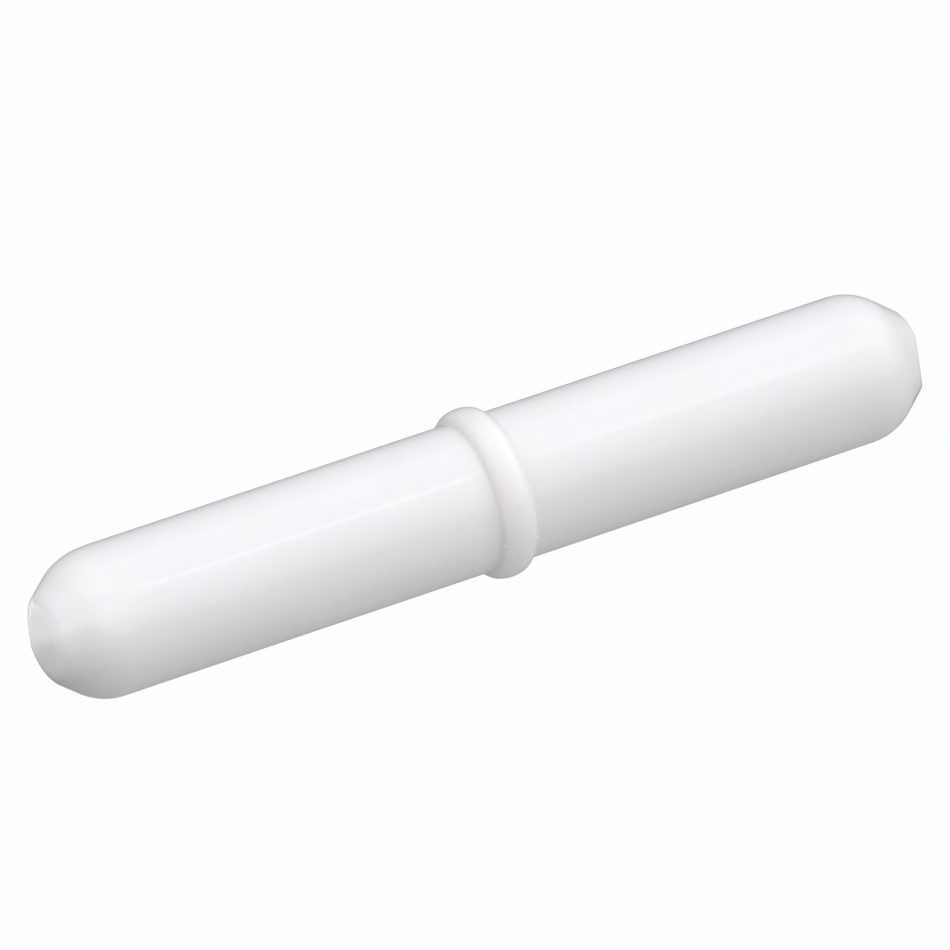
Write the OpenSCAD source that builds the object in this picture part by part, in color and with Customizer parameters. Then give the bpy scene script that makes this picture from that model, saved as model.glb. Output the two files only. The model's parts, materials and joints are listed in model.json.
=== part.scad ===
// Magnetic stir bar with a pivot ring.
// A cylindrical magnet is sealed inside a one-piece white fluoropolymer jacket.
// The jacket's outside is one turned profile: a straight barrel, a rounded ring
// round its middle, and two blunt conical noses. The bar lies as it comes to
// rest, on the crest of the ring and on the shoulder of the nose at -X.

/* [Barrel] */
// Overall length of the bar, from tip to tip
bar_len = 50.8; // [46:0.1:76]
// Diameter of the straight barrel
bar_d = 8; // [7.5:0.1:9.5]

/* [Nose] */
// Radius of the round shoulder where the barrel runs into the nose
shoulder_r = 3.2; // [2.4:0.1:3.6]
// Angle between the side of the nose cone and the bar's axis
cone_angle = 39.3; // [34:0.1:44]
// Radius of the round edge between the nose cone and the tip's flat face
tip_edge_r = 1.35; // [0.6:0.05:1.5]
// Diameter of the flat face on the tip
tip_face_d = 3.5; // [2.6:0.1:4]

/* [Pivot ring] */
// Height of the ring's crest above the barrel
ring_height = 0.6; // [0.3:0.05:0.9]
// Width of the ring along the bar, at its widest
ring_w = 2.08; // [1.8:0.02:2.6]
// Radius of the ring's gently curved crest, across its section
ring_crest_r = 1.8; // [1.6:0.1:2.4]
// Radius of the ring's rounded sides, across its section
ring_side_r = 0.8; // [0.7:0.05:0.85]
// Radius of the hollow corner where the ring meets the barrel
ring_root_r = 0.15; // [0.05:0.01:0.3]
// Distance of the ring from the middle of the bar, towards +X
ring_shift = 0.35; // [-2:0.05:2]

/* [Magnet] */
// Thickness of the jacket's wall round the magnet
jacket_wall = 1; // [0.6:0.05:2]
// Distance from the start of the nose's shoulder back to the magnet's end
magnet_setback = 0.5; // [0:0.1:5]
// Chamfer on the magnet's two end edges
magnet_chamfer = 0.4; // [0.1:0.05:0.8]
// Gap between the magnet and the jacket that is shrunk tight on it
magnet_gap = 0; // [0:0.01:0.1]

/* [Hidden] */
$fn = 96;

bar_r = bar_d / 2;
half_len = bar_len / 2;
ring_r = bar_r + ring_height;
tip_face_r = tip_face_d / 2;

// Angle at which a round edge runs out on the face that it meets
runout = 10;

// Nose profile, in [radius, distance along the axis]. The tip's round edge runs
// out on the rim of the flat face, and the cone is tangent to it and to the
// shoulder. The shoulder is tangent to the barrel, which fixes where it starts.
tip_edge_centre = [tip_face_r, half_len] - tip_edge_r * unit(90 - runout);
cone_offset = tip_edge_centre * unit(cone_angle) + tip_edge_r;
shoulder_axis_r = bar_r - shoulder_r;
shoulder_start = (cone_offset - shoulder_r - shoulder_axis_r * cos(cone_angle))
    / sin(cone_angle);
shoulder_centre = [shoulder_axis_r, shoulder_start];
cone_len = (tip_edge_centre - shoulder_centre) * unit(cone_angle + 90);

// Ring section, in [radius, distance from the ring's middle]. The side arc is
// tangent to the crest arc, and the hollow root arc is tangent to the side arc
// and runs out on the barrel.
crest_axis_r = ring_r - ring_crest_r;
side_reach = ring_crest_r - ring_side_r;
side_angle = asin((ring_w / 2 - ring_side_r) / side_reach);
side_centre = [crest_axis_r, 0] + side_reach * unit(side_angle);
root_reach = ring_side_r + ring_root_r;
root_angle = acos((bar_r + ring_root_r * cos(runout) - side_centre[0]) / root_reach);

// The magnet fills the straight barrel, inside the jacket's wall.
magnet_r = bar_r - jacket_wall - magnet_gap;
magnet_half_len = shoulder_start - magnet_setback;

// At rest the floor touches the ring's crest arc and the shoulder arc at -X,
// so the axis leans by the angle of their common tangent line.
rest_run = shoulder_start + ring_shift;
rest_drop = crest_axis_r - shoulder_axis_r;
rest_tilt = atan2(rest_drop, rest_run)
    - asin((shoulder_r - ring_crest_r) / norm([rest_run, rest_drop]));
axis_height = ring_crest_r + crest_axis_r * cos(rest_tilt)
    - ring_shift * sin(rest_tilt);

// Unit vector at an angle from the direction of the radius
function unit(angle) = [cos(angle), sin(angle)];

// Half of the bar's section, from its middle to one tip, without the ring
module half_profile() {
    square([bar_r, shoulder_start]);
    intersection() {
        union() {
            square([tip_edge_centre[0], half_len]);
            translate(shoulder_centre) rotate(cone_angle) {
                circle(r = shoulder_r);
                square([shoulder_r, cone_len]);
                translate([shoulder_r - tip_edge_r, cone_len]) circle(r = tip_edge_r);
            }
        }
        square([bar_r, half_len]);
    }
}

// Half of the ring's section, with its foot sunk into the barrel's wall
module half_ring_profile() {
    intersection() {
        translate([crest_axis_r, 0]) rotate(side_angle) {
            intersection() {
                circle(r = ring_crest_r);
                translate([0, -ring_crest_r]) square(ring_crest_r);
            }
            translate([side_reach, 0]) {
                circle(r = ring_side_r);
                rotate(root_angle - side_angle) root_profile();
            }
        }
        square([ring_r, ring_w]);
    }
}

// Hollow corner at the ring's foot, seen from the centre of the side arc
module root_profile() {
    root_centre = [root_reach, 0];
    difference() {
        polygon([[0, 0], root_centre, root_centre + bar_r * unit(180 - root_angle)]);
        translate(root_centre) circle(r = ring_root_r);
    }
}

// Round rod with chamfered ends, larger all over by a margin
module magnet_form(margin) {
    r = magnet_r + margin;
    end = magnet_half_len + margin;
    rotate_extrude() polygon([
        [0, -end],
        [r - magnet_chamfer, -end],
        [r, magnet_chamfer - end],
        [r, end - magnet_chamfer],
        [r - magnet_chamfer, end],
        [0, end],
    ]);
}

// Lays what stands along Z on the floor, with its axis along X
module lie_down() {
    translate([0, 0, axis_height]) rotate([0, -rest_tilt, 0]) rotate([90, 0, 90]) children();
}

// One-piece moulded jacket: barrel, noses and ring, closed round the magnet
module jacket() {
    color("whitesmoke") lie_down() difference() {
        rotate_extrude() {
            half_profile();
            mirror([0, 1]) half_profile();
            translate([0, ring_shift]) {
                half_ring_profile();
                mirror([0, 1]) half_ring_profile();
            }
        }
        magnet_form(magnet_gap);
    }
}

// Cylindrical bar magnet, sealed in the jacket
module magnet() {
    color("dimgray") lie_down() magnet_form(0);
}

jacket();
magnet();
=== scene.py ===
# %% [markdown]
# # A magnetic stirring bar
#
# A stirring bar is a short rod magnet sealed in a white fluoropolymer jacket. It lies
# in a beaker and spins over a turning magnet, so it has no moving parts of its own.
# The jacket is one moulded piece: a barrel, two blunt conical noses and a rounded ring
# round the middle, on which the bar spins with little friction.
#
# This lesson turns the jacket as one form, gives it the small marks that moulding
# leaves, works out a waxy white finish, and lights it as a white thing on white.

# %% The frame and its nodes
import json
import math

import bmesh
import bpy
from mathutils import Matrix, Vector, noise


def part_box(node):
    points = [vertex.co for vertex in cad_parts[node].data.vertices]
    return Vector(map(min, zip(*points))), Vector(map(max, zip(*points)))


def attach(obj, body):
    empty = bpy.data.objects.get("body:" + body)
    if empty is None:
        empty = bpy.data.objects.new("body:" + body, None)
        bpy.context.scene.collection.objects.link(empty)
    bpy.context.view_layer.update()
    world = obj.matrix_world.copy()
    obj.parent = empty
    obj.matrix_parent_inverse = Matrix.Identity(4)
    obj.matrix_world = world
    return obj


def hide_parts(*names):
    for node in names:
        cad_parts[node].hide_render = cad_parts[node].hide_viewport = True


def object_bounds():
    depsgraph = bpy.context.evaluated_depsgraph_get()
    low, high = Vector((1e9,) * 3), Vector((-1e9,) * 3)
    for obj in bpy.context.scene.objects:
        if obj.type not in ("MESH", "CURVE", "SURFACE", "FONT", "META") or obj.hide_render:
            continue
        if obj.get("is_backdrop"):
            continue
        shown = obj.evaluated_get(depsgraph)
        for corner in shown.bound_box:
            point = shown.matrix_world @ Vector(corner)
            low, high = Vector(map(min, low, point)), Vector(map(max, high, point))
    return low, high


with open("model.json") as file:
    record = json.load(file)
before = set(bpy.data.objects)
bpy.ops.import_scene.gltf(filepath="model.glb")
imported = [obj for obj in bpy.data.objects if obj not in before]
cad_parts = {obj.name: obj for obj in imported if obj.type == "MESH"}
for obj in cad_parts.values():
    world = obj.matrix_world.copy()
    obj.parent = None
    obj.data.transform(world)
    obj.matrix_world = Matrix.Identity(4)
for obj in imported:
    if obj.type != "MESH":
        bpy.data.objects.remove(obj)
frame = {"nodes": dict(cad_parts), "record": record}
cad_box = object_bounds()
MM = 0.001
mounts = {mount["name"]: mount for mount in frame["record"]["mounts"]}
print("nodes:", sorted(frame["nodes"]), "mounts:", sorted(mounts))

# %% [markdown]
# ## Where the bar lies
#
# The bar rests on the crest of its ring and on one shoulder, so its own axis rises a
# little towards one end. The two tip faces in the record give that axis, its middle
# and its length. It would be possible to turn the finished object instead, but then a
# pattern in its material would turn with it, so a matrix places the mesh itself.

# %% The bar's own axis
tip_low = Vector(mounts["tip_minus_x"]["pos_m"])
tip_high = Vector(mounts["tip_plus_x"]["pos_m"])
axis = (tip_high - tip_low).normalized()
middle = (tip_low + tip_high) / 2
half_length = (tip_high - tip_low).length / 2
barrel_radius = mounts["barrel_plus_x"]["dims"]["r_mm"] * MM
front = Vector((axis.y, -axis.x, 0)).normalized()
below = axis.cross(front)
to_bar = Matrix((front, below, axis)).transposed().to_4x4()
to_bar.translation = middle
axis_rise = math.asin(axis.z)
print(f"half length {half_length / MM:.2f} mm, radius {barrel_radius / MM:.2f} mm")
print(f"the axis rises {math.degrees(axis_rise):.2f} degrees")

# %% [markdown]
# ## The jacket's outline
#
# A turned form needs only half of its section. Each round stretch is an arc of its
# real radius, so the outline is a short list of arcs from one tip to the other. A
# curve drawn by hand would need many points and would never be quite smooth. Points
# stand close together where the form bends and further apart on the barrel.

# %% Arcs and straight stretches
def arc(centre, radius, start, end, steps):
    """Points [along the axis, away from it] on an arc, with its angles in degrees."""
    points = []
    for step in range(steps + 1):
        angle = math.radians(start + (end - start) * step / steps)
        along = centre[0] + radius * math.sin(angle)
        points.append((along, centre[1] + radius * math.cos(angle)))
    return points


def straight(start, end, spacing):
    """Points between two ends, without the ends, about a spacing apart."""
    length = math.hypot(end[0] - start[0], end[1] - start[1])
    steps = max(1, round(length / spacing))
    return [
        tuple(a + (b - a) * step / steps for a, b in zip(start, end))
        for step in range(1, steps)
    ]


quarter = arc((0, 0), 1, 0, 90, 4)
print("a quarter circle:", [f"{along:.2f} {away:.2f}" for along, away in quarter])

# %% [markdown]
# ## The nose
#
# Each end of the barrel rounds over a shoulder into a short cone, and the cone rounds
# over again into a small flat face. The cone is known from the frame's own section.
# Every circle is worked out from what it touches: the shoulder touches the barrel and
# the cone, and the tip's edge touches the cone and the face. The high end came out of
# its mould with a sharper edge than the low one, so the edge's radius is given.

# %% The cone
SHOULDER_RADIUS = 3.2 * MM
CONE_ANGLE = 39.3
TIP_EDGE_RADIUS = 1.35 * MM
TIP_FACE_RADIUS = 1.75 * MM
RUN_OUT = 10

cone = math.radians(CONE_ANGLE)
frame_edge = (
    half_length - TIP_EDGE_RADIUS * math.cos(math.radians(RUN_OUT)),
    TIP_FACE_RADIUS - TIP_EDGE_RADIUS * math.sin(math.radians(RUN_OUT)),
)
cone_reach = frame_edge[0] * math.sin(cone) + frame_edge[1] * math.cos(cone)
cone_reach += TIP_EDGE_RADIUS
print(f"the cone passes the bar's middle at {cone_reach / MM:.2f} mm")

# %% The nose's outline
SHARP_EDGE_RADIUS = 0.5 * MM
SHARP_FACE_BACK = 0.01 * MM
CONE_SPACING = 0.15 * MM
FACE_SPACING = 0.25 * MM
SHOULDER_STEPS = 16
EDGE_STEPS = 14


def nose_outline(edge_radius, face_along):
    """From the barrel's end to the middle of the tip's flat face."""
    shoulder_away = barrel_radius - SHOULDER_RADIUS
    left = cone_reach - SHOULDER_RADIUS - shoulder_away * math.cos(cone)
    shoulder_centre = (left / math.sin(cone), shoulder_away)
    edge_along = face_along - edge_radius
    left = cone_reach - edge_radius - edge_along * math.sin(cone)
    edge_centre = (edge_along, left / math.cos(cone))
    shoulder = arc(shoulder_centre, SHOULDER_RADIUS, 0, CONE_ANGLE, SHOULDER_STEPS)
    edge = arc(edge_centre, edge_radius, CONE_ANGLE, 90, EDGE_STEPS)
    cone_side = straight(shoulder[-1], edge[0], CONE_SPACING)
    face = straight(edge[-1], (face_along, 0), FACE_SPACING)
    return shoulder + cone_side + edge + face + [(face_along, 0.0)]


low_nose = nose_outline(TIP_EDGE_RADIUS, half_length)
high_nose = nose_outline(SHARP_EDGE_RADIUS, half_length - SHARP_FACE_BACK)
print(f"noses: {len(low_nose)} and {len(high_nose)} points")
print(f"shoulders start {low_nose[0][0] / MM:.2f} mm from the middle")

# %% [markdown]
# ## The ring
#
# The ring is what the bar spins on. Its crest is a wide arc, its sides are tighter
# arcs, and a small fillet at its foot lets the mould release it. Only half of it is
# worked out, because the other half is its mirror image.

# %% Half of the ring's outline
RING_HEIGHT = 0.6 * MM
RING_WIDTH = 2.08 * MM
RING_CREST_RADIUS = 1.8 * MM
RING_SIDE_RADIUS = 0.8 * MM
RING_ROOT_RADIUS = 0.15 * MM
RING_SHIFT = 0.35 * MM
CREST_STEPS, SIDE_STEPS, ROOT_STEPS = 4, 14, 6


def half_ring_outline():
    """From the top of the ring's crest down to the barrel, from the ring's middle."""
    crest_away = barrel_radius + RING_HEIGHT - RING_CREST_RADIUS
    reach = RING_CREST_RADIUS - RING_SIDE_RADIUS
    side_angle = math.asin((RING_WIDTH / 2 - RING_SIDE_RADIUS) / reach)
    side_centre = (
        reach * math.sin(side_angle),
        crest_away + reach * math.cos(side_angle),
    )
    root_away = barrel_radius + RING_ROOT_RADIUS * math.cos(math.radians(RUN_OUT))
    root_reach = RING_SIDE_RADIUS + RING_ROOT_RADIUS
    root_angle = math.acos((root_away - side_centre[1]) / root_reach)
    root_centre = (side_centre[0] + root_reach * math.sin(root_angle), root_away)
    side_angle, root_angle = math.degrees(side_angle), math.degrees(root_angle)
    crest = arc((0, crest_away), RING_CREST_RADIUS, 0, side_angle, CREST_STEPS)
    side = arc(side_centre, RING_SIDE_RADIUS, side_angle, root_angle, SIDE_STEPS)
    turned_back = root_angle - 180, RUN_OUT - 180
    root = arc(root_centre, RING_ROOT_RADIUS, *turned_back, ROOT_STEPS)
    return crest + side[1:] + root[1:]


half_ring = half_ring_outline()
ring_foot = half_ring[-1][0]
print(f"ring: {2 * len(half_ring) - 1} points, foot at {ring_foot / MM:.2f} mm")

# %% The whole outline
BARREL_SPACING = 0.7 * MM
NEAR_RING = 1.2 * MM
NEAR_RING_SPACING = 0.12 * MM


def barrel_outline(foot, shoulder):
    """From the ring's foot to a shoulder, with closer points near the ring."""
    turn_off = math.copysign(NEAR_RING, shoulder[0]) + foot[0]
    change = (turn_off, barrel_radius)
    close = straight(foot, change, NEAR_RING_SPACING)
    return close + [change] + straight(change, shoulder, BARREL_SPACING)


def jacket_outline():
    """From the tip at the low end to the tip at the high end."""
    low_end = [(-along, away) for along, away in reversed(low_nose)]
    low_ring = [(RING_SHIFT - along, away) for along, away in reversed(half_ring)]
    high_ring = [(RING_SHIFT + along, away) for along, away in half_ring[1:]]
    low_barrel = barrel_outline(low_ring[0], low_end[-1])[::-1]
    high_barrel = barrel_outline(high_ring[-1], high_nose[0])
    return low_end + low_barrel + low_ring + high_ring + high_barrel + high_nose


outline = jacket_outline()
print(f"jacket outline: {len(outline)} points")

# %% [markdown]
# ## Turning
#
# Spin turns an outline once round the axis, and its merging closes the seam. Each pole
# gets one point per step, so those are merged after it. The same few lines turn both
# the jacket's skin and the hollow inside it.

# %% A turned shell
SAME_PLACE = 1e-6


def turned(shape, points, segments):
    """Spins an outline once round Z and closes it. Gives back the new points."""
    before = set(shape.verts)
    verts = [shape.verts.new((away, 0, along)) for along, away in points]
    edges = [shape.edges.new(pair) for pair in zip(verts, verts[1:])]
    bmesh.ops.spin(
        shape,
        geom=verts + edges,
        cent=(0, 0, 0),
        axis=(0, 0, 1),
        angle=math.tau,
        steps=segments,
        use_merge=True,
    )
    made = [vert for vert in shape.verts if vert not in before]
    poles = [vert for vert in made if math.hypot(vert.co.x, vert.co.y) < SAME_PLACE]
    bmesh.ops.remove_doubles(shape, verts=poles, dist=SAME_PLACE)
    return [vert for vert in made if vert.is_valid]


shape = bmesh.new()
print("an empty mesh, ready for the hollow and the skin")

# %% [markdown]
# ## The hollow for the magnet
#
# In the real bar the jacket is pressed round the magnet and touches it everywhere.
# Two surfaces in exactly the same place would flicker, so the hollow is a hair wider
# than the magnet that the frame brings. It is turned first, while the mesh is small,
# and its faces are turned round, because a hollow's surface faces into the hollow.

# %% The hollow
CAVITY_SEGMENTS = 96
CAVITY_MARGIN = 0.02 * MM
MAGNET_CHAMFER = 0.4 * MM

magnet_low, magnet_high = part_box("magnet")
magnet_radius = (magnet_high.y - magnet_low.y) / 2
half_span = (magnet_high.x - magnet_low.x) / 2
end_reach = (magnet_radius - MAGNET_CHAMFER) * math.sin(axis_rise)
magnet_end = (half_span - end_reach) / math.cos(axis_rise) + CAVITY_MARGIN
cavity_radius = magnet_radius + CAVITY_MARGIN
half_cavity = [
    (magnet_end - MAGNET_CHAMFER, cavity_radius),
    (magnet_end, cavity_radius - MAGNET_CHAMFER),
    (magnet_end, 0),
]
cavity_outline = [(-along, away) for along, away in reversed(half_cavity)] + half_cavity
turned(shape, cavity_outline, CAVITY_SEGMENTS)
inner_faces = list(shape.faces)
bmesh.ops.recalc_face_normals(shape, faces=inner_faces)
bmesh.ops.reverse_faces(shape, faces=inner_faces)
print(f"hollow: {2 * cavity_radius / MM:.2f} mm across, {2 * magnet_end / MM:.2f} mm long")

# %% The jacket's skin
JACKET_SEGMENTS = 300

hollow_faces = set(inner_faces)
skin = turned(shape, outline, JACKET_SEGMENTS)
skin_faces = [face for face in shape.faces if face not in hollow_faces]
bmesh.ops.recalc_face_normals(shape, faces=skin_faces)
for face in skin_faces:
    face.smooth = True
print("jacket skin:", len(skin), "points,", len(skin_faces), "faces")

# %% [markdown]
# ## The parting line
#
# The jacket is moulded between two halves, and where they meet they leave a raised
# line as fine as a hair. It runs level along the front and the back of the barrel and
# bends on the noses, and in the two creases beside the ring it fills the corner with a
# tiny web. A bump map would show the line, but not its edge against the light, so the
# points themselves are moved. They are first gathered towards the line, because evenly
# spread ones stand too far apart to hold anything so narrow.

# %% Gathering points at the parting line
PARTING_ANGLE = math.radians(6)
GATHERING = 0.85


def ease(value):
    """Goes smoothly from 0 to 1 as the value does."""
    value = min(1.0, max(0.0, value))
    return value * value * (3 - 2 * value)


for vert in skin:
    around = math.atan2(vert.co.y, vert.co.x)
    away = math.hypot(vert.co.x, vert.co.y)
    around -= GATHERING / 2 * math.sin(2 * (around - PARTING_ANGLE))
    vert.co.x = away * math.cos(around)
    vert.co.y = away * math.sin(around)
finest = math.radians(360 / JACKET_SEGMENTS) * (1 - GATHERING) * barrel_radius
print(f"points at the parting line are {finest / MM:.3f} mm apart")

# %% Raising the parting line
LINE_HEIGHT = 0.010 * MM
LINE_WIDTH = 0.035 * MM
LINE_WANDER = 0.9 * MM
LINE_FADE = 1.5 * MM
WEB_HEIGHT = 0.05 * MM
WEB_LENGTH = 0.14 * MM
WEB_FROM_FOOT = 0.1 * MM
LOW_NOSE_BEND = math.radians(19)
HIGH_NOSE_BEND = math.radians(5)
BEND_START = 22.6 * MM
BEND_LENGTH = 2.0 * MM
from_middle = ring_foot - WEB_FROM_FOOT
creases = [RING_SHIFT - from_middle, RING_SHIFT + from_middle]


def line_angle(along):
    """Where the front parting line stands, as an angle down from the front."""
    bend = LOW_NOSE_BEND if along < 0 else HIGH_NOSE_BEND
    return PARTING_ANGLE + bend * ease((abs(along) - BEND_START) / BEND_LENGTH)


def line_rise(co):
    """How far the parting line lifts a point of the skin."""
    away = math.hypot(co.x, co.y)
    turned_by = math.atan2(co.y, co.x) - line_angle(co.z)
    aside = abs(math.remainder(turned_by, math.pi)) * away
    if aside > 4 * LINE_WIDTH:
        return 0.0
    uneven = 0.75 + 0.5 * noise.noise(Vector((0, 0, co.z / LINE_WANDER)))
    rise = LINE_HEIGHT * uneven * ease(away / LINE_FADE)
    for crease in creases:
        rise += WEB_HEIGHT * math.exp(-(((co.z - crease) / WEB_LENGTH) ** 2))
    return rise * math.exp(-((aside / LINE_WIDTH) ** 2))


shape.normal_update()
lifts = [(vert, line_rise(vert.co)) for vert in skin]
for vert, lift in lifts:
    vert.co += vert.normal * lift
raised = sum(lift > 0.5 * LINE_HEIGHT for vert, lift in lifts)
print(f"raised {raised} points, the webs stand {WEB_HEIGHT / MM:.2f} mm high")

# %% [markdown]
# ## Ends that aren't quite round
#
# A bar like this is trimmed at its tips after moulding. The low end is worn down a
# little on its upper back side, from the shoulder to the middle of its face. The high
# end has a small flat on the side that shows, cut across the edge of its tip. Each is
# only a tenth of a millimetre or so, and both show in the outline against the light.

# %% The worn side and the flat
WORN_SIDE = Vector((-0.63, -0.77, 0))
WORN_DEPTH = 0.115 * MM
WORN_START = 21.4 * MM
WORN_LENGTH = 1.8 * MM
WORN_PAST_MIDDLE = 0.3 * MM
WORN_WIDTH = 1.3 * MM
FLAT_FACING = Vector((0.401, -0.101, 0.910))
FLAT_AWAY = 0.63 * MM

shape.normal_update()
high_tip = Vector((0, 0, half_length))
flattened = 0
for vert in skin:
    over = (vert.co - high_tip).dot(FLAT_FACING) - FLAT_AWAY
    if over > 0:
        vert.co -= FLAT_FACING * over
        flattened += 1
    towards_end = ease((-vert.co.z - WORN_START) / WORN_LENGTH)
    towards_side = ease((vert.co.dot(WORN_SIDE) + WORN_PAST_MIDDLE) / WORN_WIDTH)
    vert.co -= vert.normal * WORN_DEPTH * towards_end * towards_side
print(f"high tip: {flattened} points on the flat")

# %% [markdown]
# ## A skin that isn't quite even
#
# Fluoropolymer shrinks a little unevenly as it cools, so a straight lamp mirrored in
# the barrel has an edge that wanders. A few thousandths of a millimetre are enough.
# The noise is read in the bar's own directions and stretched along it, as the
# material flows when it is pressed.

# %% Slow unevenness
UNEVEN_HEIGHT = 0.004 * MM
UNEVEN_AROUND = 1.6 * MM
UNEVEN_ALONG = 4.5 * MM

for vert in skin:
    place = Vector((
        vert.co.x / UNEVEN_AROUND,
        vert.co.y / UNEVEN_AROUND,
        vert.co.z / UNEVEN_ALONG,
    ))
    vert.co += vert.normal * UNEVEN_HEIGHT * noise.noise(place)
print(f"skin moved by up to {UNEVEN_HEIGHT / MM:.3f} mm")

# %% The finished mesh
bmesh.ops.transform(shape, matrix=to_bar, verts=shape.verts)
wall = shape.calc_volume(signed=True) / MM**3
jacket_mesh = bpy.data.meshes.new("jacket_skin")
shape.to_mesh(jacket_mesh)
shape.free()
jacket = bpy.data.objects.new("jacket_skin", jacket_mesh)
bpy.context.scene.collection.objects.link(jacket)
print(f"jacket: {len(jacket_mesh.polygons)} faces round {wall:.0f} cubic mm of wall")

# %% [markdown]
# ## Places on the bar for patterns
#
# A pattern has to stay where it is on the bar, in any view. Object coordinates do
# that, and one Mapping node turns them into the bar's own directions in millimetres:
# X along the bar, Y across it, Z up. Every size in a material is then a real size.

# %% Nodes and arithmetic
def node(tree, kind, inputs=None, **settings):
    """Adds a node, and links each input given a socket or fills it with a value."""
    made = tree.nodes.new(kind)
    for name, value in settings.items():
        setattr(made, name, value)
    for name, value in (inputs or {}).items():
        if isinstance(value, bpy.types.NodeSocket):
            tree.links.new(value, made.inputs[name])
        else:
            made.inputs[name].default_value = value
    return made


def calc(tree, operation, *values):
    """One step of arithmetic on sockets and numbers."""
    inputs = dict(enumerate(values))
    return node(tree, "ShaderNodeMath", inputs, operation=operation).outputs[0]


def fade(tree, value, start, end, low=0.0, high=1.0):
    """Goes smoothly from low to high as the value goes from start to end."""
    inputs = {
        "Value": value,
        "From Min": start,
        "From Max": end,
        "To Min": low,
        "To Max": high,
    }
    kind = "ShaderNodeMapRange"
    return node(tree, kind, inputs, interpolation_type="SMOOTHSTEP").outputs["Result"]


def blend(tree, factor, first, second, mode="MIX"):
    """Mixes two colours, as far from the first to the second as the factor says."""
    mixer = node(tree, "ShaderNodeMix", data_type="RGBA", blend_type=mode)
    for socket, value in ((0, factor), (6, first), (7, second)):
        if isinstance(value, bpy.types.NodeSocket):
            tree.links.new(value, mixer.inputs[socket])
        else:
            mixer.inputs[socket].default_value = value
    return mixer.outputs[2]


def empty_material(name):
    """A new material, with its node tree and its shader."""
    material = bpy.data.materials.new(name)
    material.use_nodes = True
    tree = material.node_tree
    return material, tree, tree.nodes["Principled BSDF"]


print("helpers for materials: node, calc, fade, blend, empty_material")

# %% Places and grain
def on_the_bar(tree):
    """The place on the bar in millimetres."""
    coordinates = node(tree, "ShaderNodeTexCoord")
    inputs = {
        "Vector": coordinates.outputs["Object"],
        "Location": middle,
        "Rotation": (0, -axis_rise, 0),
        "Scale": (MM, MM, MM),
    }
    return node(tree, "ShaderNodeMapping", inputs, vector_type="TEXTURE").outputs[0]


def grain(tree, place, along, across, detail=2.0):
    """Noise with a number of grains per millimetre along the bar and across it."""
    inputs = {"Vector": place, "Scale": (along, across, across)}
    stretched = node(tree, "ShaderNodeMapping", inputs).outputs[0]
    inputs = {"Vector": stretched, "Scale": 1.0, "Detail": detail}
    return node(tree, "ShaderNodeTexNoise", inputs).outputs["Fac"]


def part_of(tree, place, direction):
    """How far a place is along X, Y or Z."""
    return node(tree, "ShaderNodeSeparateXYZ", {"Vector": place}).outputs[direction]


print("helpers for patterns: on_the_bar, grain, part_of")

# %% [markdown]
# ## White fluoropolymer
#
# The jacket is white all through and a little waxy: light goes in, wanders about and
# comes out nearby, so shadows are soft and the thick ring glows warmer than the thin
# wall over the dark magnet. Random-walk scattering follows that path, and the ring's
# colour adds a painted warm glow on top of it. A plain white paint would look like chalk.
# Over it lies a faint gloss, because the mould was polished, and the gloss is where
# all the small marks show.

# %% Colour of the jacket, with painted light and shade
WALL_WHITE = (0.900, 0.904, 0.908, 1)
WALL_CLOUD = (0.885, 0.887, 0.888, 1)
# Painted light and shade: the ring is coloured darker on its low side and lighter on its
# high side, and warmer than the wall as a painted glow.
RING_PAINTED_SHADE_SIDE = (0.890, 0.880, 0.862, 1)
RING_PAINTED_LIGHT_SIDE = (0.965, 0.958, 0.942, 1)
# Painted shade: the crease beside the ring's low side is darkened in colour.
CREASE_SHADE = (0.865, 0.862, 0.855, 1)
RING_TURN = (-0.4, 0.6)
CREASE_REACH = (-2.3, -1.1)
RING_EDGE = (1.25, 0.75)
CLOUD_GRAINS = (0.16, 0.5)
CLOUD_EDGES = (0.35, 0.65)


def past_the_ring(tree, place):
    """How far a place is past the ring's middle, along the bar."""
    return calc(tree, "SUBTRACT", part_of(tree, place, "X"), RING_SHIFT / MM)


def white_with_painted_light_and_shade(tree, place):
    """Cloudy white, with painted shade in the crease on the ring's low side, and painted
    light and shade on the ring.
    """
    cloud = grain(tree, place, *CLOUD_GRAINS, detail=4.0)
    wall = blend(tree, fade(tree, cloud, *CLOUD_EDGES), WALL_WHITE, WALL_CLOUD)
    past_ring = past_the_ring(tree, place)
    on_high = fade(tree, past_ring, *RING_TURN)
    # Painted shade in the crease on the ring's low side.
    shaded = fade(tree, past_ring, *CREASE_REACH)
    wall = blend(tree, shaded, wall, blend(tree, on_high, CREASE_SHADE, wall))
    on_ring = fade(tree, calc(tree, "ABSOLUTE", past_ring), *RING_EDGE)
    # Painted light and shade on the ring: darker low side, lighter high side, warmer than
    # the wall.
    ring = blend(tree, on_high, RING_PAINTED_SHADE_SIDE, RING_PAINTED_LIGHT_SIDE)
    return blend(tree, on_ring, wall, ring)


print("white walls, and a warmer ring from", RING_PAINTED_SHADE_SIDE[:3], "to", RING_PAINTED_LIGHT_SIDE[:3])

# %% Specks in the jacket
SPECK_GREY = (0.60, 0.60, 0.59, 1)
SPECK_STRENGTH = 0.35
SPECK_SIZE = 0.05
SPECKS_PER_MM = 0.6
NAMED_SPECKS = [
    (-25.40, 0.50, -0.19, 0.10),
    (-25.40, 0.05, -0.21, 0.09),
    (-25.40, -0.65, -0.15, 0.10),
    (10.46, -3.97, -0.46, 0.06),
    (12.65, -3.97, -0.44, 0.08),
    (15.33, -3.97, -0.46, 0.07),
]


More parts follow.
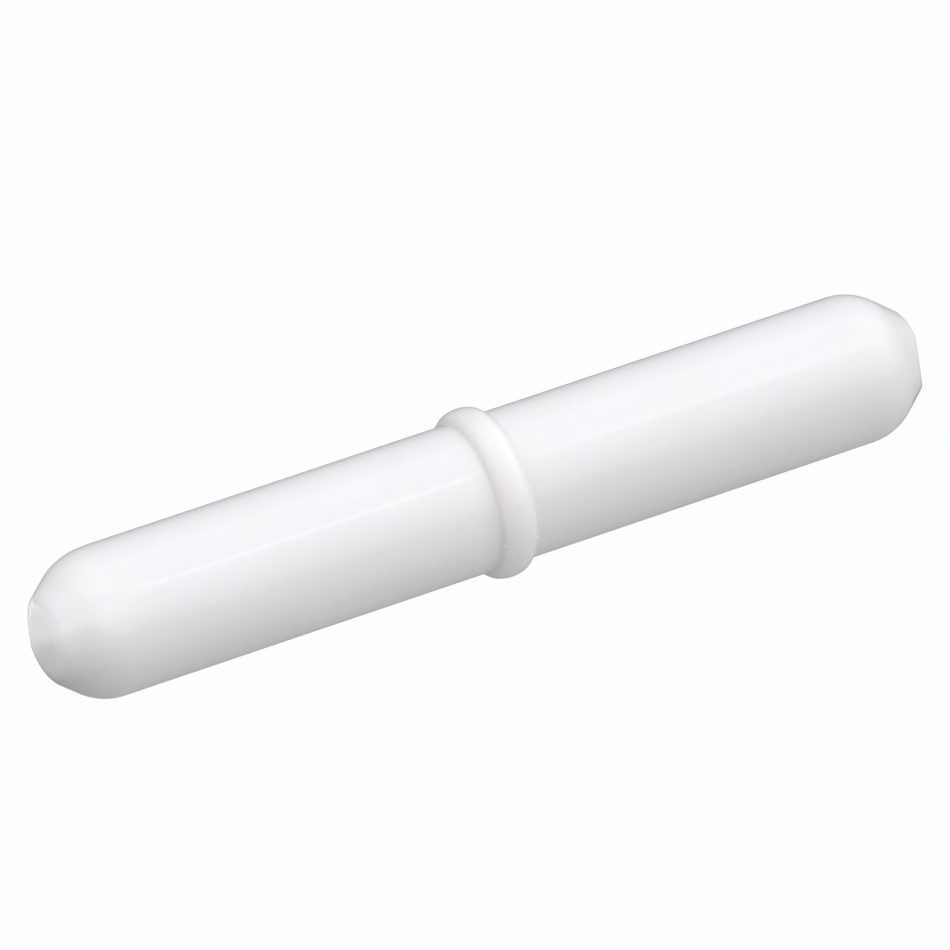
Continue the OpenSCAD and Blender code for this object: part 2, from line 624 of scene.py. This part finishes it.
def speckled_white(tree, place):
    """The jacket's white with small grey specks, and a few larger ones by name."""
    inputs = {"Vector": place, "Scale": SPECKS_PER_MM}
    spots = node(tree, "ShaderNodeTexVoronoi", inputs).outputs["Distance"]
    edges = SPECK_SIZE * 0.6, SPECK_SIZE * 0.3
    speckled = fade(tree, spots, *edges, high=SPECK_STRENGTH)
    for x, y, z, size in NAMED_SPECKS:
        inputs = {0: place, 1: (x, y, z)}
        kind = "ShaderNodeVectorMath"
        apart = node(tree, kind, inputs, operation="DISTANCE").outputs["Value"]
        speck = fade(tree, apart, size, size * 0.4, high=SPECK_STRENGTH)
        speckled = calc(tree, "MAXIMUM", speckled, speck)
    return blend(tree, speckled, white_with_painted_light_and_shade(tree, place), SPECK_GREY)


print("specks:", len(NAMED_SPECKS), "larger ones, each at its own place")

# %% [markdown]
# ## Marks in the gloss
#
# Four things break up the gloss. A fine grain covers everything. Faint lines run along
# the barrel, the way the material flowed in the mould. Short hairs run round it, where
# the mould was dressed by hand on both sides of the ring. The gloss itself is patchy.
# All four are so low that they show only at the edge of a mirrored lamp.

# %% Bump and roughness of the jacket
FINE_GRAINS = (9, 9)
FLOW_GRAINS = (0.35, 5)
HAIR_GRAINS = (7, 1.6)
HAIR_EDGES = (0.58, 0.72)
GRAIN_HEIGHT = 0.0004
FLOW_HEIGHT = 0.0008
HAIR_HEIGHT = 0.0030
HAIRS_REACH = (5.5, 1.2)
HAIRS_FAR_AWAY = 0.08


def jacket_bump(tree, place):
    """The height of the small marks, in millimetres, as a normal."""
    fine = calc(tree, "MULTIPLY", grain(tree, place, *FINE_GRAINS), GRAIN_HEIGHT)
    flow = calc(tree, "MULTIPLY", grain(tree, place, *FLOW_GRAINS), FLOW_HEIGHT)
    hair = grain(tree, place, *HAIR_GRAINS, detail=1.0)
    hair = fade(tree, hair, *HAIR_EDGES)
    from_ring = calc(tree, "ABSOLUTE", past_the_ring(tree, place))
    hairy = fade(tree, from_ring, *HAIRS_REACH, low=HAIRS_FAR_AWAY, high=1.0)
    hair = calc(tree, "MULTIPLY", calc(tree, "MULTIPLY", hair, hairy), HAIR_HEIGHT)
    height = calc(tree, "ADD", calc(tree, "ADD", fine, flow), hair)
    inputs = {"Height": height, "Distance": MM, "Strength": 1.0}
    return node(tree, "ShaderNodeBump", inputs).outputs["Normal"]


print("marks from", GRAIN_HEIGHT, "to", HAIR_HEIGHT, "mm high")

# %% The finished white
PATCH_GRAINS = (0.4, 0.9)
PATCH_EDGES = (0.3, 0.7)
ROUGHNESS = (0.06, 0.11)
REFRACTION = 1.38
SCATTER_DEPTH = 0.8 * MM
SCATTER_SHARES = (1.0, 0.95, 0.90)


def white_fluoropolymer():
    """Waxy white with a faint patchy gloss."""
    material, tree, shader = empty_material("white_fluoropolymer")
    place = on_the_bar(tree)
    patchy = grain(tree, place, *PATCH_GRAINS, detail=5.0)
    rough = fade(tree, patchy, *PATCH_EDGES, *ROUGHNESS)
    tree.links.new(speckled_white(tree, place), shader.inputs["Base Color"])
    tree.links.new(rough, shader.inputs["Roughness"])
    tree.links.new(jacket_bump(tree, place), shader.inputs["Normal"])
    shader.subsurface_method = "RANDOM_WALK"
    shader.inputs["IOR"].default_value = REFRACTION
    shader.inputs["Subsurface Weight"].default_value = 1.0
    shader.inputs["Subsurface Radius"].default_value = SCATTER_SHARES
    shader.inputs["Subsurface Scale"].default_value = SCATTER_DEPTH
    return material


jacket.data.materials.append(white_fluoropolymer())
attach(jacket, "root")
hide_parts("jacket")
print("jacket finished in", jacket.data.materials[0].name)

# %% [markdown]
# ## Cast magnet alloy
#
# Nobody sees the magnet in a whole bar, but it is a piece of the object, and a cut or
# worn bar shows it. It is cast, so it has small pits, and then ground round, so fine
# lines run round it. A metal's colour is all in its reflection, which is why both the
# lines and the pits are made with bump and roughness more than with colour.

# %% The magnet's material
ALLOY_GREY = (0.36, 0.35, 0.34, 1)
ALLOY_DARK = (0.20, 0.19, 0.18, 1)
ALLOY_GRAINS = (0.7, 0.7)
ALLOY_EDGES = (0.3, 0.7)
ALLOY_ROUGHNESS = (0.32, 0.50)
GRINDING_GRAINS = (14, 0.4)
GRINDING_HEIGHT = 0.002
PITS_PER_MM = 1.3
PIT_EDGES = (0.22, 0.10)
PIT_SHADE = 0.6
PIT_DEPTH = 0.03


def cast_alloy():
    """Ground grey metal with casting pits."""
    material, tree, shader = empty_material("cast_alloy")
    place = on_the_bar(tree)
    cloud = grain(tree, place, *ALLOY_GRAINS, detail=6.0)
    lines = grain(tree, place, *GRINDING_GRAINS, detail=3.0)
    inputs = {"Vector": place, "Scale": PITS_PER_MM}
    spots = node(tree, "ShaderNodeTexVoronoi", inputs).outputs["Distance"]
    pits = fade(tree, spots, *PIT_EDGES)
    colour = blend(tree, fade(tree, cloud, *ALLOY_EDGES), ALLOY_GREY, ALLOY_DARK)
    colour = blend(tree, calc(tree, "MULTIPLY", pits, PIT_SHADE), colour, ALLOY_DARK)
    rough = fade(tree, lines, *ALLOY_EDGES, *ALLOY_ROUGHNESS)
    ground = calc(tree, "MULTIPLY", lines, GRINDING_HEIGHT)
    height = calc(tree, "SUBTRACT", ground, calc(tree, "MULTIPLY", pits, PIT_DEPTH))
    bump = node(tree, "ShaderNodeBump", {"Height": height, "Distance": MM})
    tree.links.new(colour, shader.inputs["Base Color"])
    tree.links.new(rough, shader.inputs["Roughness"])
    tree.links.new(bump.outputs["Normal"], shader.inputs["Normal"])
    shader.inputs["Metallic"].default_value = 1.0
    return material


magnet = frame["nodes"]["magnet"]
magnet.data.materials.clear()
magnet.data.materials.append(cast_alloy())
print("magnet finished in", magnet.data.materials[0].name)

# %% [markdown]
# ## The camera
#
# A long lens from the better part of a metre makes both ends of the bar look almost
# the same size, as catalogues like it. The camera is turned so that up stays up, and
# its aim is moved a little up and sideways, as the camera sees it, to place the bar.

# %% Camera
CAMERA_BEARING = 242.0
CAMERA_ELEVATION = 35.82
CAMERA_DISTANCE = 0.84
CAMERA_LENS = 612.9
AIM_RAISE = 1.03 * MM
AIM_LEFT = 0.16 * MM

bearing, elevation = math.radians(CAMERA_BEARING), math.radians(CAMERA_ELEVATION)
towards_camera = Vector((
    math.cos(elevation) * math.cos(bearing),
    math.cos(elevation) * math.sin(bearing),
    math.sin(elevation),
))
turn = towards_camera.to_track_quat("Z", "Y")
aim = middle + turn @ Vector((-AIM_LEFT, AIM_RAISE, 0))
camera_data = bpy.data.cameras.new("camera")
camera_data.lens = CAMERA_LENS
camera_data.clip_start = 0.05
camera_data.clip_end = 50
camera = bpy.data.objects.new("camera", camera_data)
camera.location = aim + towards_camera * CAMERA_DISTANCE
camera.rotation_mode = "QUATERNION"
camera.rotation_quaternion = turn
bpy.context.scene.collection.objects.link(camera)
bpy.context.scene.camera = camera
print(f"camera {CAMERA_DISTANCE} m away, lens {CAMERA_LENS} mm")

# %% [markdown]
# ## The floor
#
# White on white needs care: the background has to be plain white, but a white table
# that bright would also wash out the bar's underside. So there are two sheets. The
# camera sees only the paper, which is lit evenly and takes no shadow. Light meets only
# the table, which is darker and bounces some light up under the bar.

# %% Paper and table
PAPER_WHITE = 0.985
TABLE_SIZE = 6.0
TABLE_DEPTH = 0.01 * MM
TABLE_GREY = (0.2, 0.2, 0.2, 1)
TABLE_ROUGHNESS = 0.9


def sheet_of(name, height):
    """A level sheet under the bar that is part of the stage."""
    builder = bmesh.new()
    size = TABLE_SIZE / 2
    bmesh.ops.create_grid(builder, x_segments=1, y_segments=1, size=size)
    bmesh.ops.translate(builder, vec=(0, 0, height), verts=builder.verts)
    mesh = bpy.data.meshes.new(name)
    builder.to_mesh(mesh)
    builder.free()
    sheet = bpy.data.objects.new(name, mesh)
    bpy.context.scene.collection.objects.link(sheet)
    sheet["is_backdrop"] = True
    return sheet


print("a sheet measures", TABLE_SIZE, "m on each side")

# %% The two sheets
white_sheet = sheet_of("white_sheet", 0)
paper, tree, shader = empty_material("lit_paper")
shader.inputs["Base Color"].default_value = (0, 0, 0, 1)
shader.inputs["Roughness"].default_value = 1.0
shader.inputs["Specular IOR Level"].default_value = 0.0
shader.inputs["Emission Color"].default_value = (1, 1, 1, 1)
shader.inputs["Emission Strength"].default_value = PAPER_WHITE
white_sheet.data.materials.append(paper)
white_sheet.visible_diffuse = False
white_sheet.visible_glossy = False
white_sheet.visible_transmission = False
white_sheet.visible_shadow = False
table = sheet_of("table", -TABLE_DEPTH)
table.visible_camera = False
table_finish, tree, shader = empty_material("table_finish")
shader.inputs["Base Color"].default_value = TABLE_GREY
shader.inputs["Roughness"].default_value = TABLE_ROUGHNESS
shader.inputs["Specular IOR Level"].default_value = 0.1
table.data.materials.append(table_finish)
print("white sheet for the camera, table for the light")

# %% [markdown]
# ## Cards on the table
#
# The bar's underside and its low tip mirror the table, so white cards lie on it where
# those reflections need light. The flat tip is seen almost from the side, and there
# even a faint gloss mirrors strongly. The card behind it starts dark beside the bar
# and brightens away from it, so the tip is bright at its top and dark at its foot. A
# card is left, right, near and far edges in millimetres and how brightly it glows, and
# then, for one that brightens, where that starts and ends.

# %% Cards
CARD_LIFT = 0.005 * MM
CARD_NEAR_GLOW = 0.12
CARDS = {
    "card_behind_low_end": (-60, -25, 0, 14, 1.10, 2.8, 7.0),
    "card_in_front": (-25, 60, -60, 0, 0.29),
    "card_beyond_low_end": (-1000, -60, -60, 60, 2.2),
}


def card(name, left, right, near, far, glow, dark_until=None, full_from=None):
    """A lit white card on the table, seen by the bar but not by the camera."""
    sheet = sheet_of(name, CARD_LIFT - TABLE_DEPTH)
    for vert in sheet.data.vertices:
        vert.co.x = (left if vert.co.x < 0 else right) * MM
        vert.co.y = (near if vert.co.y < 0 else far) * MM
    material, tree, shader = empty_material(name + "_light")
    shader.inputs["Base Color"].default_value = TABLE_GREY
    shader.inputs["Roughness"].default_value = TABLE_ROUGHNESS
    shader.inputs["Emission Color"].default_value = (1, 1, 1, 1)
    shader.inputs["Emission Strength"].default_value = glow
    if full_from is not None:
        back = part_of(tree, on_the_bar(tree), "Y")
        ramp = fade(tree, back, dark_until, full_from, low=CARD_NEAR_GLOW, high=glow)
        tree.links.new(ramp, shader.inputs["Emission Strength"])
    sheet.data.materials.append(material)
    sheet.visible_camera = False


for name, edges in CARDS.items():
    card(name, *edges)
print("cards:", ", ".join(CARDS))

# %% [markdown]
# ## The studio
#
# A glossy round thing mirrors the whole room, so the room has to be right and not only
# the lamps. A few lamps in an empty black room would leave hard dark bands in the
# gloss. Here the room is a soft dome, as large diffusers and cards make it. It is
# given by how bright it is at each height round the bar's axis and at each stretch
# along it. Heights go from level in front, over the top, to level behind.

# %% The dome's brightness
DOME_FULL = 4.0
DOME_STEP = 15.0
DOME_STRETCHES = (-0.875, -0.575, -0.2, 0.2, 0.575, 0.875)
DOME = (
    (0.35, 0.35, 0.29, 0.00, 0.37, 0.65),
    (0.42, 0.37, 0.32, 0.16, 0.45, 0.68),
    (0.51, 0.37, 0.34, 0.26, 0.49, 0.70),
    (0.54, 0.38, 0.31, 0.32, 0.48, 0.71),
    (0.51, 0.34, 0.25, 0.29, 0.43, 0.69),
    (0.46, 0.33, 0.22, 0.00, 0.27, 0.64),
    (0.42, 0.43, 0.38, 0.00, 0.20, 0.59),
    (0.43, 0.51, 0.51, 0.14, 0.20, 0.51),
    (0.40, 0.49, 0.46, 0.20, 0.19, 0.41),
    (0.35, 0.41, 0.34, 0.25, 0.21, 0.34),
    (0.29, 0.31, 0.25, 0.32, 0.27, 0.32),
    (0.23, 0.23, 0.12, 0.16, 0.28, 0.33),
)
WARM_BELOW = ((1.01, 1, 0.97),) * 3
TOWARDS_TOP = ((1.01, 1, 0.98), (1.005, 1, 0.99), (1, 1, 1), (1, 1, 1.01))
COOL_BEHIND = ((0.995, 1, 1.02),) * 5
DOME_TINT = WARM_BELOW + TOWARDS_TOP + COOL_BEHIND
print(f"dome: {len(DOME)} heights by {len(DOME_STRETCHES)} stretches")

# %% Directions in the dome
def dome_directions(tree):
    """Height round the bar's axis in degrees, and how far along the axis."""
    coordinates = node(tree, "ShaderNodeTexCoord").outputs["Generated"]
    parts = []
    for direction in (axis, front, -below):
        inputs = {0: coordinates, 1: direction}
        kind = "ShaderNodeVectorMath"
        dot = node(tree, kind, inputs, operation="DOT_PRODUCT")
        parts.append(dot.outputs["Value"])
    angle = calc(tree, "ARCTAN2", parts[2], parts[1])
    return calc(tree, "DEGREES", angle), parts[0]


def dome_stretch(tree, height, number):
    """The dome's colour over all heights, at one stretch along the bar."""
    where = calc(tree, "DIVIDE", height, 180)
    ramp = node(tree, "ShaderNodeValToRGB", {"Fac": where})
    stops = ramp.color_ramp.elements
    for step, (row, tint) in enumerate(zip(DOME, DOME_TINT)):
        stop = stops[step] if step < 2 else stops.new(1)
        stop.position = (step + 0.5) * DOME_STEP / 180
        level = row[number] / DOME_FULL
        stop.color = (level * tint[0], level * tint[1], level * tint[2], 1)
    return ramp.outputs["Color"]


def soft_dome(tree, height, along):
    """The whole dome, blended from one stretch to the next."""
    colour = dome_stretch(tree, height, 0)
    for number in range(1, len(DOME_STRETCHES)):
        start, end = DOME_STRETCHES[number - 1], DOME_STRETCHES[number]
        inputs = {"Value": along, "From Min": start, "From Max": end}
        step = node(tree, "ShaderNodeMapRange", inputs).outputs["Result"]
        colour = blend(tree, step, colour, dome_stretch(tree, height, number))
    return colour


print("the dome is read by direction, so it has no distance and no edge")

# %% [markdown]
# ## Panels with edges
#
# A few panels have crisp edges, and those edges are what tells the eye that the white
# is glossy. The edge of the large panel overhead runs the length of the barrel. Just
# above it a brighter strip draws a thin line on the low half and a broader band on the
# high half, and a small window puts a bright patch on the low shoulder. A panel is how
# bright it is, its lowest and highest height in degrees, and its start and end along
# the axis, where 0 is straight across the bar and 1 is straight past its high end.

# %% Panels
EDGE = 0.8
ALONG_EDGE = 0.003
PANELS = (
    (2.20, 65, 71.5, 0.290, 0.382),
    (1.75, 65, 84, 0.382, 0.450),
    (1.00, 65, 84, 0.450, 0.850),
    (1.50, 80, 102, -0.32, 0.02),
    (0.87, 14, 65, -0.39, 0.85),
    (0.82, 65, 129, -1.10, 0.85),
)
PANEL_COLOUR = (1.01, 1.0, 1.04, 1)
NO_LIGHT = (0, 0, 0, 1)


def panel(tree, height, along, low, high, start, end):
    """1 inside a panel and 0 outside it."""
    inside = fade(tree, height, low - EDGE, low + EDGE)
    parts = [
        fade(tree, height, high + EDGE, high - EDGE),
        fade(tree, along, start - ALONG_EDGE, start + ALONG_EDGE),
        fade(tree, along, end + ALONG_EDGE, end - ALONG_EDGE),
    ]
    for part in parts:
        inside = calc(tree, "MULTIPLY", inside, part)
    return inside


print("panels:", len(PANELS), "with edges", 2 * EDGE, "degrees wide")

# %% The light all round
studio = bpy.data.worlds.new("studio")
studio.use_nodes = True
tree = studio.node_tree
height, along = dome_directions(tree)
level = None
for strength, *edges in PANELS:
    lit = calc(tree, "MULTIPLY", panel(tree, height, along, *edges), strength / DOME_FULL)
    level = lit if level is None else calc(tree, "ADD", level, lit)
lit = blend(tree, level, NO_LIGHT, PANEL_COLOUR)
light = blend(tree, 1.0, soft_dome(tree, height, along), lit, mode="ADD")
background = tree.nodes["Background"]
tree.links.new(light, background.inputs["Color"])
background.inputs["Strength"].default_value = DOME_FULL
white = node(tree, "ShaderNodeBackground", {"Strength": PAPER_WHITE})
white.inputs["Color"].default_value = (1, 1, 1, 1)
seen = node(tree, "ShaderNodeLightPath").outputs["Is Camera Ray"]
inputs = {0: seen, 1: background.outputs[0], 2: white.outputs[0]}
surroundings = node(tree, "ShaderNodeMixShader", inputs).outputs[0]
tree.links.new(surroundings, tree.nodes["World Output"].inputs["Surface"])
bpy.context.scene.world = studio
bpy.context.scene.view_settings.view_transform = "Standard"
print("studio: the dome and its panels, and plain white for the camera")

# %% [markdown]
# ## Sizes
#
# The plain bar's box and the dressed bar's box are both written down, so that
# they can be compared.

# %% Both boxes, and the end
sizes = {
    "cad": [list(corner) for corner in cad_box],
    "visual": [list(corner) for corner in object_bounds()],
}
for name, (low, high) in sizes.items():
    spans = [f"{(b - a) / MM:.2f}" for a, b in zip(low, high)]
    print(name, "box:", " by ".join(spans), "mm")
